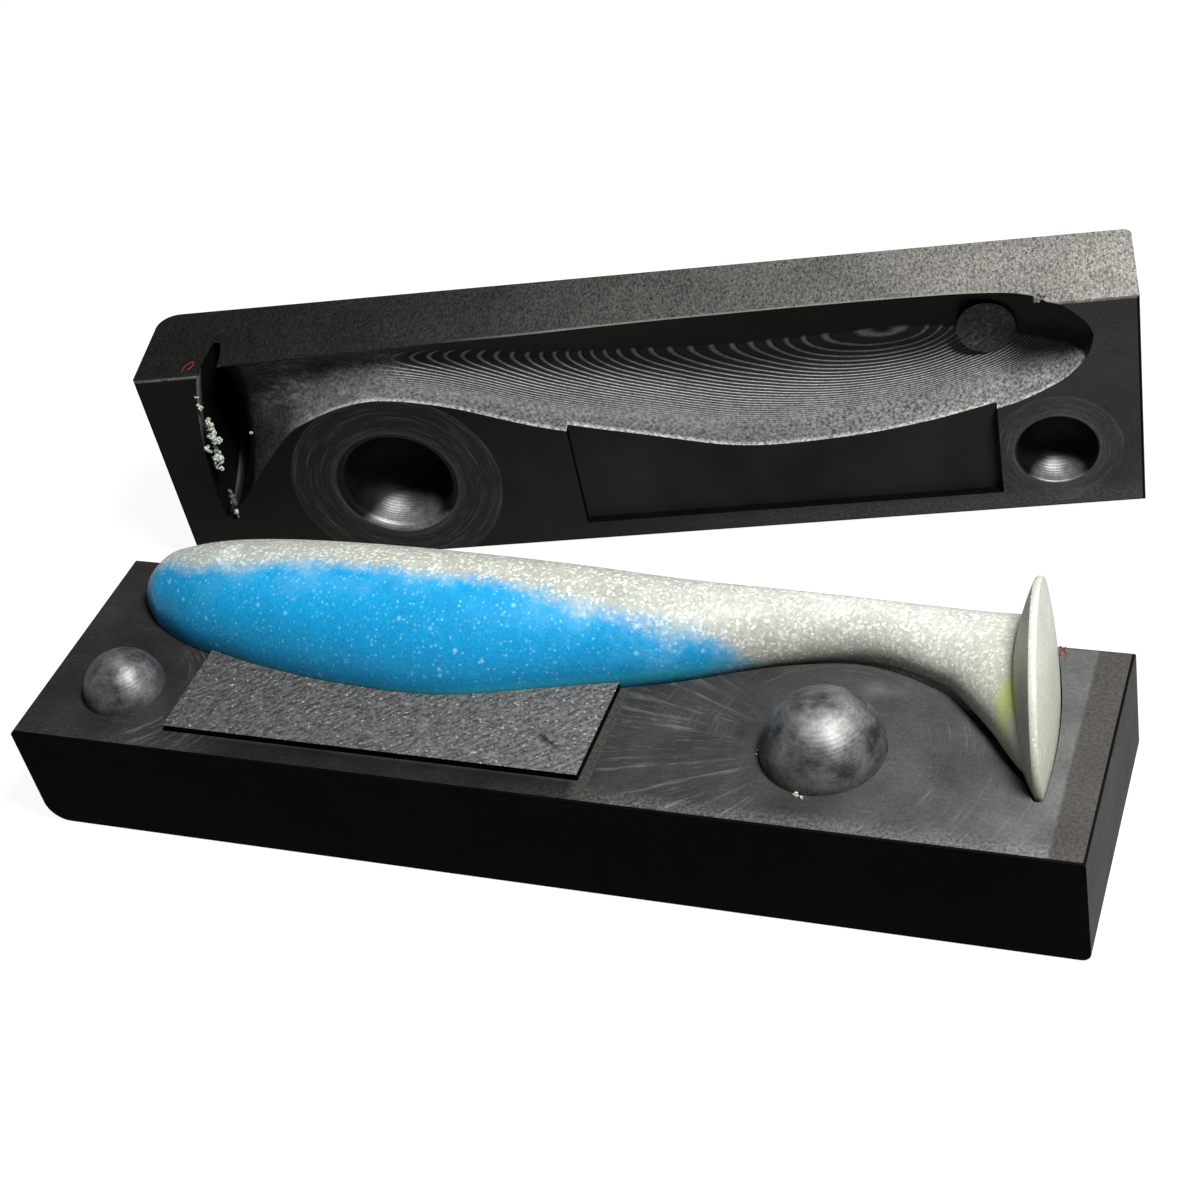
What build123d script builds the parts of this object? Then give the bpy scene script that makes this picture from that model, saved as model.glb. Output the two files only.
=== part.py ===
"""Two-part open-pour mould for one soft plastic paddle-tail lure, in millimetres.

The lower half lies flat with its cavity up and a cast lure in it. The upper half stands beside it on its
belly edge, cavity to the front. Closed, the halves meet on their parting faces, and the plastic is poured
through the slot that both leave open along the back of the lure.

The origin is the centre of the lower half's underside. +X runs from the lure's head to its tail, +Y from its
belly to its back, and +Z is up. Each half has a parting plane of its own: local X and Y run as they do in the
lower half, and local Z leaves the face on the upper half's side.
"""
from build123d import *
import math
import os

os.makedirs("parts", exist_ok=True)

# Block, the same for both halves but for its ends: the lower half's head end and the upper half's tail end
# have the larger rounding
block_length = 141.0
block_width = 35.0
block_thickness = 16.5
round_end = 3.0
square_end = 1.3
side_round = 1.0
parting_edge_round = 0.4

# Lure, measured down from the block's back face, where the mould is open
lure_length = 128.7
lure_depth = 20.9
lure_width = 22.8
nose_wall = 6.4
nose_depth = 5.8
cast_clearance = 0.15

# Tail paddle, a lens that stands across the lure's length
paddle_diameter = 28.7
paddle_depth = 11.95
paddle_inset = 3.1
paddle_tilt = 8.0
paddle_front = 3.6
paddle_rear = 1.9
paddle_rim = 0.8
lean_from = 0.88

# Eyes of the lure, each formed by a round boss in its half
eye_diameter = 8.5
eye_station = 14.3
eye_depth = 8.5
eye_half_spacing = 7.6

# Locating domes of the lower half and their sockets in the upper half. The large one stands in the hollow
# between the belly and the paddle, so it is measured from the tail end of the lure
large_dome_radius = 7.75
large_dome_from_tail = 27.8
large_dome_from_belly = 13.2
large_mouth_round = 1.2
small_dome_radius = 5.4
small_dome_from_head = 12.0
small_dome_from_belly = 10.2
dome_clearance = 0.25

# Key pad of the lower half and its pocket in the upper half
pad_from_head = 21.6
pad_length = 57.4
pad_from_belly = 3.5
pad_height = 1.0
key_end_clearance = 1.7
key_side_clearance = 0.2
key_depth_clearance = 0.4

# How the open mould is set out
stand_x = -4.9
stand_y = 50.5
stand_yaw = 13.2
lure_lift = 0.45
lure_tilt = 1.05

# Body sections from nose to tail, as shares: station on the lure's length, belly and back on its depth
# below the block's back face, and half width. Past lean_from they lean over into the paddle's plane
body_sections = (
    (0.008, 0.446, 0.166, 0.26),
    (0.019, 0.524, 0.092, 0.40),
    (0.032, 0.598, 0.028, 0.51),
    (0.049, 0.659, 0.004, 0.59),
    (0.082, 0.753, -0.022, 0.72),
    (0.125, 0.827, -0.029, 0.84),
    (0.191, 0.918, -0.029, 0.95),
    (0.278, 0.986, -0.029, 1.00),
    (0.388, 0.989, -0.029, 0.965),
    (0.498, 0.827, -0.029, 0.82),
    (0.607, 0.645, -0.029, 0.62),
    (0.717, 0.395, -0.029, 0.46),
    (0.799, 0.325, -0.029, 0.38),
    (0.881, 0.496, -0.029, 0.375),
    (0.911, 0.675, -0.029, 0.41),
    (0.936, 0.873, -0.027, 0.47),
    (0.952, 1.040, -0.022, 0.53),
    (0.967, 1.155, -0.012, 0.61),
)

head_end = -block_length / 2
belly_edge = -block_width / 2
back_face = block_width / 2
nose_x = head_end + nose_wall

yaw = math.radians(stand_yaw)
lower_face = Plane.XY.offset(block_thickness)
upper_face = Plane(
    origin=(stand_x, stand_y, block_width / 2),
    x_dir=(-math.cos(yaw), -math.sin(yaw), 0),
    z_dir=(-math.sin(yaw), math.cos(yaw), 0),
)

tilt = math.radians(lure_tilt)
lure_plane = Plane(
    origin=lower_face.from_local_coords((nose_x, 0, lure_lift)),
    x_dir=(math.cos(tilt), 0, math.sin(tilt)),
    z_dir=(-math.sin(tilt), 0, math.cos(tilt)),
)
lure_face = Plane(
    origin=lure_plane.from_local_coords((-nose_x, 0, 0)),
    x_dir=lure_plane.x_dir,
    z_dir=lure_plane.z_dir,
)


def point_on(face, x, y, z=0.0):
    return face.from_local_coords(Vector(x, y, z))


def section_plane(face, station):
    """The plane across the lure at a share of its length, its X towards the back, level with the paddle."""
    share = max(0, station - lean_from) / (body_sections[-1][0] - lean_from)
    lean = math.radians(paddle_tilt) * share
    return Plane(
        origin=point_on(face, nose_x + station * lure_length, back_face - paddle_depth),
        x_dir=face.y_dir * math.cos(lean) - face.x_dir * math.sin(lean),
        z_dir=face.x_dir * math.cos(lean) + face.y_dir * math.sin(lean),
    )


def body_section(face, shares, grow):
    """One cross-section of the body: an ellipse in two halves, split at its back and belly."""
    station, belly, back, width = shares
    centre = (paddle_depth - lure_depth * (belly + back) / 2, 0)
    half_depth = lure_depth * (belly - back) / 2 + grow
    half_width = width * lure_width / 2 + grow
    with BuildSketch(section_plane(face, station)) as section:
        with BuildLine():
            EllipticalCenterArc(centre, half_depth, half_width, 0, arc_size=180)
            EllipticalCenterArc(centre, half_depth, half_width, 180, arc_size=180)
        make_face()
    return section.sketch.face()


def paddle_profile(plane, grow):
    """Half of the lens about the plane's X: two shallow crowns and a narrow rim."""
    radius = paddle_diameter / 2 + grow
    rear = paddle_rear + grow
    front = paddle_front + grow
    rim = paddle_rim / 2 + grow
    with BuildSketch(plane) as profile:
        with BuildLine():
            TangentArc((rear, 0), (rim, radius), tangent=(0, 1))
            Line((rim, radius), (-rim, radius))
            TangentArc((-front, 0), (-rim, radius), tangent=(0, 1))
            Line((-front, 0), (rear, 0))
        make_face()
    return profile.sketch


def lure_form(face, grow):
    """The whole lure about its parting plane, with every surface moved out by grow."""
    tip = Vertex(*point_on(face, nose_x - grow, back_face - nose_depth))
    sections = [body_section(face, shares, grow) for shares in body_sections]
    centre = point_on(face, nose_x + lure_length - paddle_inset, back_face - paddle_depth)
    lean = math.radians(paddle_tilt)
    axis = face.x_dir * math.cos(lean) + face.y_dir * math.sin(lean)
    profile = paddle_profile(Plane(origin=centre, x_dir=axis, z_dir=face.z_dir), grow)
    with BuildPart() as form:
        loft([tip, *sections])
        revolve(profile, axis=Axis(centre, axis))
    return form.part


def mould_block(face, side):
    """A plain half with its edges rounded. Side is -1 below the parting plane and 1 above it."""
    along_length = Axis(face.origin, face.x_dir)
    along_width = Axis(face.origin, face.y_dir)
    outwards = Axis(face.origin, face.z_dir * side)
    with BuildPart() as block:
        with BuildSketch(face):
            Rectangle(block_length, block_width)
        extrude(amount=side * block_thickness)
        for end, radius in ((side, round_end), (-side, square_end)):
            outer = block.edges().filter_by(along_width).group_by(outwards)[-1]
            fillet(outer.sort_by(Axis(face.origin, face.x_dir * end))[-1], radius)
        # The side faces' rounding runs on round the ends and down the corners
        fillet(block.edges().filter_by(along_length).group_by(outwards)[-1], side_round)
        fillet(block.faces().sort_by(outwards)[0].edges(), parting_edge_round)
    return block.part


def eye_boss(face, side, radius, top):
    """A round post from its flat top out towards the side of the block."""
    x = nose_x + eye_station
    post = Plane(
        origin=point_on(face, x, back_face - eye_depth, side * top),
        x_dir=face.x_dir,
        z_dir=face.z_dir * side,
    )
    with BuildPart() as boss:
        with BuildSketch(post):
            Circle(radius)
        extrude(amount=(block_thickness + lure_width / 2) / 2 - top)
    return boss.part


def key_outline(face, end_grow, side_grow):
    """The pad's plan, which runs on into the cavity."""
    inner = back_face - eye_depth
    outer = belly_edge + pad_from_belly - side_grow
    with BuildSketch(face) as outline:
        with Locations((head_end + pad_from_head + pad_length / 2, (inner + outer) / 2)):
            Rectangle(pad_length + 2 * end_grow, inner - outer)
    return outline.sketch


large_dome = (nose_x + lure_length - large_dome_from_tail, belly_edge + large_dome_from_belly)
small_dome = (head_end + small_dome_from_head, belly_edge + small_dome_from_belly)

with BuildPart() as lower_mould_half:
    add(mould_block(lower_face, -1))
    extrude(key_outline(lower_face, 0, 0), amount=pad_height)
    add(lure_form(lower_face, cast_clearance), mode=Mode.SUBTRACT)
    add(eye_boss(lower_face, -1, eye_diameter / 2 - cast_clearance, eye_half_spacing + cast_clearance))
    with Locations(point_on(lower_face, *large_dome)):
        Sphere(large_dome_radius)
    with Locations(point_on(lower_face, *small_dome)):
        Sphere(small_dome_radius)
lower_mould_half.part.label = "lower_mould_half"
export_step(lower_mould_half.part, "parts/lower_mould_half.step")

with BuildPart() as upper_mould_half:
    add(mould_block(upper_face, 1))
    extrude(
        key_outline(upper_face, key_end_clearance, key_side_clearance),
        amount=pad_height + key_depth_clearance,
        mode=Mode.SUBTRACT,
    )
    add(lure_form(upper_face, cast_clearance), mode=Mode.SUBTRACT)
    add(eye_boss(upper_face, 1, eye_diameter / 2 - cast_clearance, eye_half_spacing + cast_clearance))
    with Locations(point_on(upper_face, *large_dome)):
        Sphere(large_dome_radius + dome_clearance, mode=Mode.SUBTRACT)
    round_edges = upper_mould_half.edges().filter_by(GeomType.CIRCLE)
    mouths = round_edges.sort_by_distance(point_on(upper_face, *large_dome))
    fillet(mouths[0], large_mouth_round)
    with Locations(point_on(upper_face, *small_dome)):
        Sphere(small_dome_radius + dome_clearance, mode=Mode.SUBTRACT)
upper_mould_half.part.label = "upper_mould_half"
export_step(upper_mould_half.part, "parts/upper_mould_half.step")

with BuildPart() as cast_lure:
    add(lure_form(lure_face, 0))
    for side in (-1, 1):
        add(eye_boss(lure_face, side, eye_diameter / 2, eye_half_spacing), mode=Mode.SUBTRACT)
cast_lure.part.label = "cast_lure"
export_step(cast_lure.part, "parts/cast_lure.step")
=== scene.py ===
import math
import random

import bmesh
import bpy
from mathutils import Matrix, Vector, noise


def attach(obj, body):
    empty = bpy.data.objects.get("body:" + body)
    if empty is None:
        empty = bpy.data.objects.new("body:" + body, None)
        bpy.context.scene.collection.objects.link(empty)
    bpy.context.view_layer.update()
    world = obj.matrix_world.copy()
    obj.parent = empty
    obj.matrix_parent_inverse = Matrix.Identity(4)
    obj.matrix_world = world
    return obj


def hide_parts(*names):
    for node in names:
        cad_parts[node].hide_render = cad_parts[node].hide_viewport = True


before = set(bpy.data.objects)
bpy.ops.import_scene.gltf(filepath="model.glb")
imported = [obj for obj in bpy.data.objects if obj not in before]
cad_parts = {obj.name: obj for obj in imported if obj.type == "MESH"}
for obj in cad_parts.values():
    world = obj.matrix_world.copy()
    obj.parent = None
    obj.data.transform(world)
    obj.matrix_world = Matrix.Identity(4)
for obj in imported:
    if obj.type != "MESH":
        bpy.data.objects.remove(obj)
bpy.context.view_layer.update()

bl_info = {
    "name": "Fishing lure mould",
    "version": (1, 0, 0),
    "blender": (4, 5, 0),
    "location": "View3D > Sidebar > Lure mould",
    "description": "Dresses an open-pour lure mould: two printed halves, the cast lure and its casting residue",
    "category": "Object",
}

MM = 0.001

# A face this near to a plane lies ON it, or BESIDE an edge or a rounding. Vertices closer than MERGE become one,
# and a ring of radius POINT stands for the tip of a skin
ON = 0.01 * MM
BESIDE = 0.1 * MM
MERGE = 1e-7
POINT = 0.05 * MM

# Directions in a plane's own axes count as square to it beyond this
SQUARE = 0.99

# Body of the lure from nose to tail, as shares: station on the length, belly and back on the depth below the
# block's back face, and half width
BODY_SECTIONS = (
    (0.000, 0.278, 0.278, 0.00), (0.008, 0.446, 0.166, 0.26), (0.019, 0.524, 0.092, 0.40),
    (0.032, 0.598, 0.028, 0.51), (0.049, 0.659, 0.004, 0.59), (0.082, 0.753, -0.022, 0.72),
    (0.125, 0.827, -0.029, 0.84), (0.191, 0.918, -0.029, 0.95), (0.278, 0.986, -0.029, 1.00),
    (0.388, 0.989, -0.029, 0.965), (0.498, 0.827, -0.029, 0.82), (0.607, 0.645, -0.029, 0.62),
    (0.717, 0.395, -0.029, 0.46), (0.799, 0.325, -0.029, 0.38), (0.881, 0.496, -0.029, 0.375),
    (0.911, 0.675, -0.029, 0.41), (0.936, 0.873, -0.027, 0.47), (0.952, 1.040, -0.022, 0.53),
    (0.967, 1.155, -0.012, 0.61),
)

# Curves along the lure, as shares of its length: the cavity's deepest line, its half width, how close its printed
# steps lie, and the line where the lure's blue belly ends
DEEPEST = (
    (0.0, 0.46), (0.049, 0.49), (0.125, 0.465), (0.191, 0.455), (0.278, 0.4785), (0.388, 0.48), (0.498, 0.399),
    (0.607, 0.285), (0.717, 0.140), (0.799, 0.110), (0.881, 0.2335), (1.0, 0.56),
)
WIDEST = (
    (0.0, 0.40), (0.082, 0.72), (0.191, 0.95), (0.278, 1.0), (0.388, 0.965), (0.498, 0.82), (0.607, 0.62),
    (0.717, 0.46), (0.799, 0.38), (0.881, 0.375), (1.0, 0.61),
)
STEPS = (
    (0.0, 0.53), (0.125, 0.53), (0.191, 0.522), (0.278, 0.4925), (0.388, 0.4525), (0.498, 0.465),
    (0.607, 0.4825), (0.717, 0.5), (1.0, 0.5),
)
BELLY_LINE = (
    (0.0, 0.32), (0.05, 0.40), (0.10, 0.50), (0.22, 0.51), (0.38, 0.50), (0.50, 0.53), (0.58, 0.545),
    (0.64, 0.51), (0.675, 0.45), (0.72, 0.40), (1.0, 0.40),
)

# A curve node holds shares only, so the pour slot's half width is kept as a share of this
SLOT_UNIT = 10 * MM

# Scraps left by casting, in rows of half, middle, spread, count and size, in millimetres in that half's plane
CRUMBS = (
    ("upper", (61.9, 8.1, 0.3), (0.4, 1.4, 0.25), 11, 0.36),
    ("upper", (61.4, 6.0, 0.3), (0.7, 0.35, 0.25), 6, 0.32),
    ("upper", (63.0, 4.4, 0.3), (1.0, 0.4, 0.2), 9, 0.28),
    ("upper", (62.3, 2.2, 0.3), (0.55, 1.7, 0.25), 16, 0.34),
    ("upper", (62.2, 12.9, 0.2), (0.15, 1.5, 0.15), 5, 0.22),
    ("upper", (62.3, -7.6, 0.2), (0.15, 0.5, 0.2), 3, 0.30),
    ("upper", (56.0, 6.6, 0.4), (0.2, 0.2, 0.2), 2, 0.22),
    ("lower", (35.3, -12.3, 0.1), (0.2, 0.2, 0.05), 2, 0.26),
    ("lower", (36.2, -12.35, 0.1), (0.1, 0.1, 0.05), 1, 0.24),
    ("lower", (28.9, -5.5, 0.1), (0.3, 1.2, 0.05), 3, 0.20),
)
BURRS = (
    ("upper", (62.2, -5.6, 0.25), (0.1, 3.0, 0.15), 9, 0.30),
    ("upper", (-57.4, 17.45, 1.2), (0.7, 0.1, 0.5), 5, 0.30),
)

# Red fibres, in rows of half, start, end and sag
FIBRES = (
    ("upper", (63.4, 17.6, 1.3), (62.2, 17.65, 3.5), (0.3, 0.1, 0)),
    ("upper", (62.6, 17.6, 1.5), (62.0, 17.9, 3.0), (-0.3, 0, 0)),
    ("lower", (61.2, 17.3, 0.1), (62.2, 15.0, 0.1), (0.5, 0, 0)),
    ("lower", (62.0, 17.2, 0.1), (61.6, 15.6, 0.1), (-0.3, 0, 0)),
)
FIBRE_RADIUS = 0.07 * MM

# The photograph's camera: its place, and its directions to the right, down and ahead
CAMERA_PLACE = (0.1067, -0.1819, 0.2055)
CAMERA_RIGHT = Vector((0.94382, 0.29409, -0.15073))
CAMERA_DOWN = Vector((0.08403, -0.65470, -0.75120))
CAMERA_AHEAD = Vector((-0.31960, 0.69633, -0.64263))

# Area lamps: name, place, power in watts and size. All point at LIT
LAMPS = (
    ("key", (0.22, -0.06, 0.46), 5.2, 0.12),
    ("sheen", (0.26, 0.48, 0.36), 1.2, 0.30),
)
LIT = Vector((0, 0.02, 0.01))


def length(name, description, default):
    return bpy.props.FloatProperty(name=name, description=description, default=default, unit="LENGTH", precision=5)


def angle(name, description, default):
    return bpy.props.FloatProperty(name=name, description=description, default=math.radians(default), unit="ROTATION")


def share(name, description, default):
    return bpy.props.FloatProperty(name=name, description=description, default=default, min=0.0, max=1.0)


def colour(name, description, default):
    return bpy.props.FloatVectorProperty(
        name=name, description=description, default=default, subtype="COLOR", size=3, min=0.0, max=1.0
    )


class MOULD_PG_block(bpy.types.PropertyGroup):
    """Sizes that both halves share."""

    span: length("Length", "Length of each block", 0.141)
    width: length("Width", "Width of each block, from belly edge to back face", 0.035)
    thickness: length("Thickness", "Thickness of each block", 0.0165)
    round_end: length("Round end", "Radius of the outer edge at the rounder end", 0.003)
    square_end: length("Square end", "Radius of the outer edge at the squarer end", 0.0013)
    side_round: length("Side rounding", "Radius of the outer long edges", 0.001)
    face_round: length("Parting edge rounding", "Radius of the edges of the parting face", 0.0004)
    large_dome: length("Large dome radius", "Radius of the dome near the tail", 0.00775)
    large_from_tail: length("Large dome from tail", "Its middle from the tail end of the lure", 0.0278)
    large_from_belly: length("Large dome from belly", "Its middle from the belly edge", 0.0132)
    small_dome: length("Small dome radius", "Radius of the dome near the head", 0.0054)
    small_from_head: length("Small dome from head", "Its middle from the head end", 0.012)
    small_from_belly: length("Small dome from belly", "Its middle from the belly edge", 0.0102)
    dome_clearance: length("Dome clearance", "Added to each socket's radius", 0.00025)
    large_mouth: length("Large mouth rounding", "Radius of the large socket's rim", 0.0012)
    small_mouth: length("Small mouth rounding", "Radius of the small socket's rim", 0.0003)
    pad_from_head: length("Pad from head", "Start of the key pad from the head end", 0.0216)
    pad_span: length("Pad length", "Length of the key pad", 0.0574)
    pad_from_belly: length("Pad from belly", "Front of the key pad from the belly edge", 0.0035)
    pad_height: length("Pad height", "Height of the key pad", 0.001)
    end_clearance: length("Pad end clearance", "Room at each end of the pad's pocket", 0.0017)
    side_clearance: length("Pad side clearance", "Room in front of the pad in its pocket", 0.0002)
    pocket_depth: length("Pocket depth", "Depth of the pad's pocket", 0.0014)
    layer: length("Layer height", "Height of one printed layer", 0.0002)


class MOULD_PG_lure(bpy.types.PropertyGroup):
    """Sizes and place of the cast lure."""

    span: length("Length", "Nose to the back of the paddle", 0.1287)
    depth: length("Depth", "Depth that the body's shares refer to", 0.0209)
    width: length("Width", "Full width of the body at its widest", 0.0228)
    nose_wall: length("Nose wall", "Block in front of the nose", 0.0064)
    clearance: length("Cast clearance", "Gap between the lure and the cavity", 0.00015)
    paddle: length("Paddle diameter", "Diameter of the tail paddle", 0.0287)
    paddle_depth: length("Paddle depth", "Paddle centre below the block's back face", 0.01195)
    paddle_inset: length("Paddle inset", "Paddle centre from the end of the lure", 0.0031)
    paddle_front: length("Paddle front", "Crown of the paddle towards the body", 0.0036)
    paddle_rear: length("Paddle rear", "Crown of the paddle's back", 0.0019)
    paddle_rim: length("Paddle rim", "Width of the paddle's rim", 0.0008)
    lean_from: share("Lean from", "Station past which the body leans over into the paddle", 0.88)
    paddle_tilt: angle("Paddle tilt", "Lean of the paddle's axis towards the back", 8.0)
    pour_level: length("Pour level", "Flat end of the paddle beyond the block's back face", 0.001)
    eye: length("Eye diameter", "Diameter of each eye socket", 0.0085)
    eye_station: length("Eye station", "Eye centre behind the nose", 0.0143)
    eye_depth: length("Eye depth", "Eye centre below the block's back face", 0.0085)
    eye_spacing: length("Eye half spacing", "Eye floor from the middle of the lure", 0.0076)
    eye_floor: length("Eye floor", "Floor of the lure's own shallow eye from its middle", 0.0093)
    lift: length("Lift", "How far the nose stands proud of its cavity", 0.00045)
    tilt: angle("Tilt", "How far the tail is lifted out", 1.05)


class MOULD_PG_stand(bpy.types.PropertyGroup):
    """Where the upper half stands."""

    x: length("X", "Middle of the upper half's parting face", -0.0049)
    y: length("Y", "Middle of the upper half's parting face", 0.0505)
    yaw: angle("Yaw", "Turn of the upper half about the vertical", 13.2)


class MOULD_PG_colours(bpy.types.PropertyGroup):
    """Base colours."""

    black: colour("Printed black", "Smooth printed walls", (0.0042, 0.0040, 0.0043))
    blue: colour("Belly blue", "Tinted plastic of the belly", (0.0060, 0.250, 0.50))
    silver: colour("Back silver", "Clear plastic with flakes", (0.40, 0.415, 0.365))
    flake: colour("Flake", "Glitter flakes", (0.72, 0.74, 0.68))
    lime: colour("Lime", "Yellow-green tint low on the paddle", (0.50, 0.62, 0.12))
    crumb: colour("Crumb", "Scraps left in the paddle's slot", (0.42, 0.47, 0.40))
    burr: colour("Burr", "Torn scraps of the printed plastic", (0.13, 0.127, 0.118))
    fibre: colour("Fibre", "Red fibres caught on the edges", (0.16, 0.012, 0.02))


def scene_sizes(context):
    scene = context.scene
    return scene.mould_block, scene.mould_lure, scene.mould_stand, scene.mould_colours


def lower_plane(block):
    return Matrix.Translation((0, 0, block.thickness))


def upper_plane(block, stand):
    c, s = math.cos(stand.yaw), math.sin(stand.yaw)
    return Matrix(((-c, 0, -s, stand.x), (-s, 0, c, stand.y), (0, 1, 0, block.width / 2), (0, 0, 0, 1)))


def nose_place(block, lure):
    return -block.span / 2 + lure.nose_wall


def lure_plane(block, lure):
    nose = nose_place(block, lure)
    lifted = Matrix.Translation((nose, 0, block.thickness + lure.lift))
    return lifted @ Matrix.Rotation(-lure.tilt, 4, "Y") @ Matrix.Translation((-nose, 0, 0))


def dome_places(block, lure):
    """The middles of the large and the small dome."""
    large = nose_place(block, lure) + lure.span - block.large_from_tail
    small = -block.span / 2 + block.small_from_head
    belly = -block.width / 2
    return Vector((large, belly + block.large_from_belly, 0)), Vector((small, belly + block.small_from_belly, 0))


def body_shares(station):
    """The body's shares at a station, on a smooth curve through the table."""
    rows = BODY_SECTIONS
    last = len(rows) - 1
    marks = [math.sqrt(row[0]) for row in rows]
    u = math.sqrt(station)
    i = max(j for j in range(last) if marks[j] <= u or j == 0)
    before, after = max(i - 1, 0), min(i + 2, last)
    span = marks[i + 1] - marks[i]
    t = (u - marks[i]) / span
    found = []
    for k in (1, 2, 3):
        low, high = rows[i][k], rows[i + 1][k]
        slope_low = (high - rows[before][k]) / (marks[i + 1] - marks[before]) * span
        slope_high = (rows[after][k] - low) / (marks[after] - marks[i]) * span
        found.append(
            low * (2 * t**3 - 3 * t**2 + 1)
            + slope_low * (t**3 - 2 * t**2 + t)
            + high * (3 * t**2 - 2 * t**3)
            + slope_high * (t**3 - t**2)
        )
    return found


def slot_widths(lure, marks=20):
    """Half width of the pour slot along the lure, where its body crosses the block's back face."""
    found = []
    for i in range(marks + 1):
        belly, top, width = body_shares(min(i / marks, BODY_SECTIONS[-1][0]))
        middle, half_depth = (belly + top) / 2, (belly - top) / 2
        rise = 1 - (middle / half_depth) ** 2 if half_depth > abs(middle) else 0
        found.append((i / marks, width * lure.width / 2 * math.sqrt(max(rise, 0)) / SLOT_UNIT))
    return found


def new_piece(name, bm):
    mesh = bpy.data.meshes.new(name)
    bm.to_mesh(mesh)
    bm.free()
    piece = bpy.data.objects.new(name, mesh)
    bpy.context.scene.collection.objects.link(piece)
    return piece


def combine(piece, other, operation):
    """Cuts or joins a second mesh with the first, and removes the second."""
    cut = piece.modifiers.new("combine", "BOOLEAN")
    cut.operation = operation
    cut.solver = "EXACT"
    cut.object = other
    graph = bpy.context.evaluated_depsgraph_get()
    mesh = bpy.data.meshes.new_from_object(piece.evaluated_get(graph))
    piece.modifiers.clear()
    piece.data = mesh
    bpy.data.objects.remove(other)


def bridge_rings(bm, rings):
    """Adds each ring and joins it to the one before. Gives the edges of the first and last rings."""
    first = before = None
    for ring in rings:
        edges = list({edge for vertex in ring["verts"] for edge in vertex.link_edges})
        if before:
            bmesh.ops.bridge_loops(bm, edges=before + edges)
        first = first or edges
        before = edges
    return first, before


def skin(name, places, around=96):
    """One closed skin over rings, each a unit circle set by its own matrix."""
    bm = bmesh.new()
    rings = (
        bmesh.ops.create_circle(bm, cap_ends=False, segments=around, radius=1, matrix=place) for place in places
    )
    for end in bridge_rings(bm, rings):
        bmesh.ops.contextual_create(bm, geom=end)
    bmesh.ops.recalc_face_normals(bm, faces=bm.faces)
    return new_piece(name, bm)


def spun(name, place, profile, around=96):
    """A round solid about a place's Z axis, from rows of radius and height."""
    discs = [Matrix(((r, 0, 0, 0), (0, r, 0, 0), (0, 0, 1, h), (0, 0, 0, 1))) for r, h in profile]
    return skin(name, [place @ disc for disc in discs], around)


def solid(name, make, place, **sizes):
    """A piece of one bmesh primitive."""
    bm = bmesh.new()
    make(bm, matrix=place, **sizes)
    return new_piece(name, bm)


def body_tube(block, lure, plane, grow, rings=130):
    """The lure's body over many oval rings, which lean over into the paddle at the tail."""
    nose = nose_place(block, lure)
    last = BODY_SECTIONS[-1][0]
    level = block.width / 2 - lure.paddle_depth
    places = []
    for i in range(rings + 1):
        # The rings stand closer together towards the nose
        station = last * (i / rings) ** 1.45
        belly, top, width = body_shares(station)
        middle = lure.paddle_depth - lure.depth * (belly + top) / 2
        half_depth = lure.depth * (belly - top) / 2 + grow
        half_width = width * lure.width / 2 + grow
        x = nose + station * lure.span
        if i == 0:
            x -= grow
            half_depth = half_width = POINT
        lean = lure.paddle_tilt * max(0, station - lure.lean_from) / (last - lure.lean_from)
        oval = Matrix(((0, 0, 1, 0), (half_depth, 0, 0, middle), (0, half_width, 0, 0), (0, 0, 0, 1)))
        places.append(plane @ Matrix.Translation((x, level, 0)) @ Matrix.Rotation(lean, 4, "Z") @ oval)
    return skin("body_tube", places)


def paddle_lens(block, lure, plane, grow):
    """The paddle: two shallow crowns that meet in a narrow rim."""
    radius = lure.paddle / 2 + grow
    rim = lure.paddle_rim / 2 + grow
    corner = 0.15 * MM
    steps = 28
    profile = []
    for crown, way in ((lure.paddle_front + grow, -1), (lure.paddle_rear + grow, 1)):
        high = crown - rim
        bend = (radius**2 + high**2) / (2 * high)
        half = []
        for i in range(steps + 1):
            out = max(POINT, (radius - corner) * (i / steps) ** 0.8)
            half.append((out, way * (crown - bend + math.sqrt(bend**2 - out**2))))
        half.append((radius, way * rim * 0.5))
        profile += half if way < 0 else half[::-1]
    x = nose_place(block, lure) + lure.span - lure.paddle_inset
    centre = Matrix.Translation((x, block.width / 2 - lure.paddle_depth, 0))
    # Turns the profile's axis from Z to X
    axle = Matrix(((0, 0, 1, 0), (1, 0, 0, 0), (0, 1, 0, 0), (0, 0, 0, 1)))
    return spun("paddle", plane @ centre @ Matrix.Rotation(lure.paddle_tilt, 4, "Z") @ axle, profile, 128)


def pour_flat(paddle, block, lure, plane):
    """Cuts the paddle off level, where the plastic met the air."""
    level = plane @ Vector((0, block.width / 2 + lure.pour_level, 0))
    up = plane.to_3x3() @ Vector((0, 1, 0))
    bm = bmesh.new()
    bm.from_mesh(paddle.data)
    geom = list(bm.verts) + list(bm.edges) + list(bm.faces)
    cut = bmesh.ops.bisect_plane(bm, geom=geom, dist=MERGE, plane_co=level, plane_no=up, clear_outer=True)
    bmesh.ops.contextual_create(bm, geom=[g for g in cut["geom_cut"] if isinstance(g, bmesh.types.BMEdge)])
    bmesh.ops.recalc_face_normals(bm, faces=bm.faces)
    bm.to_mesh(paddle.data)
    bm.free()


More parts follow.
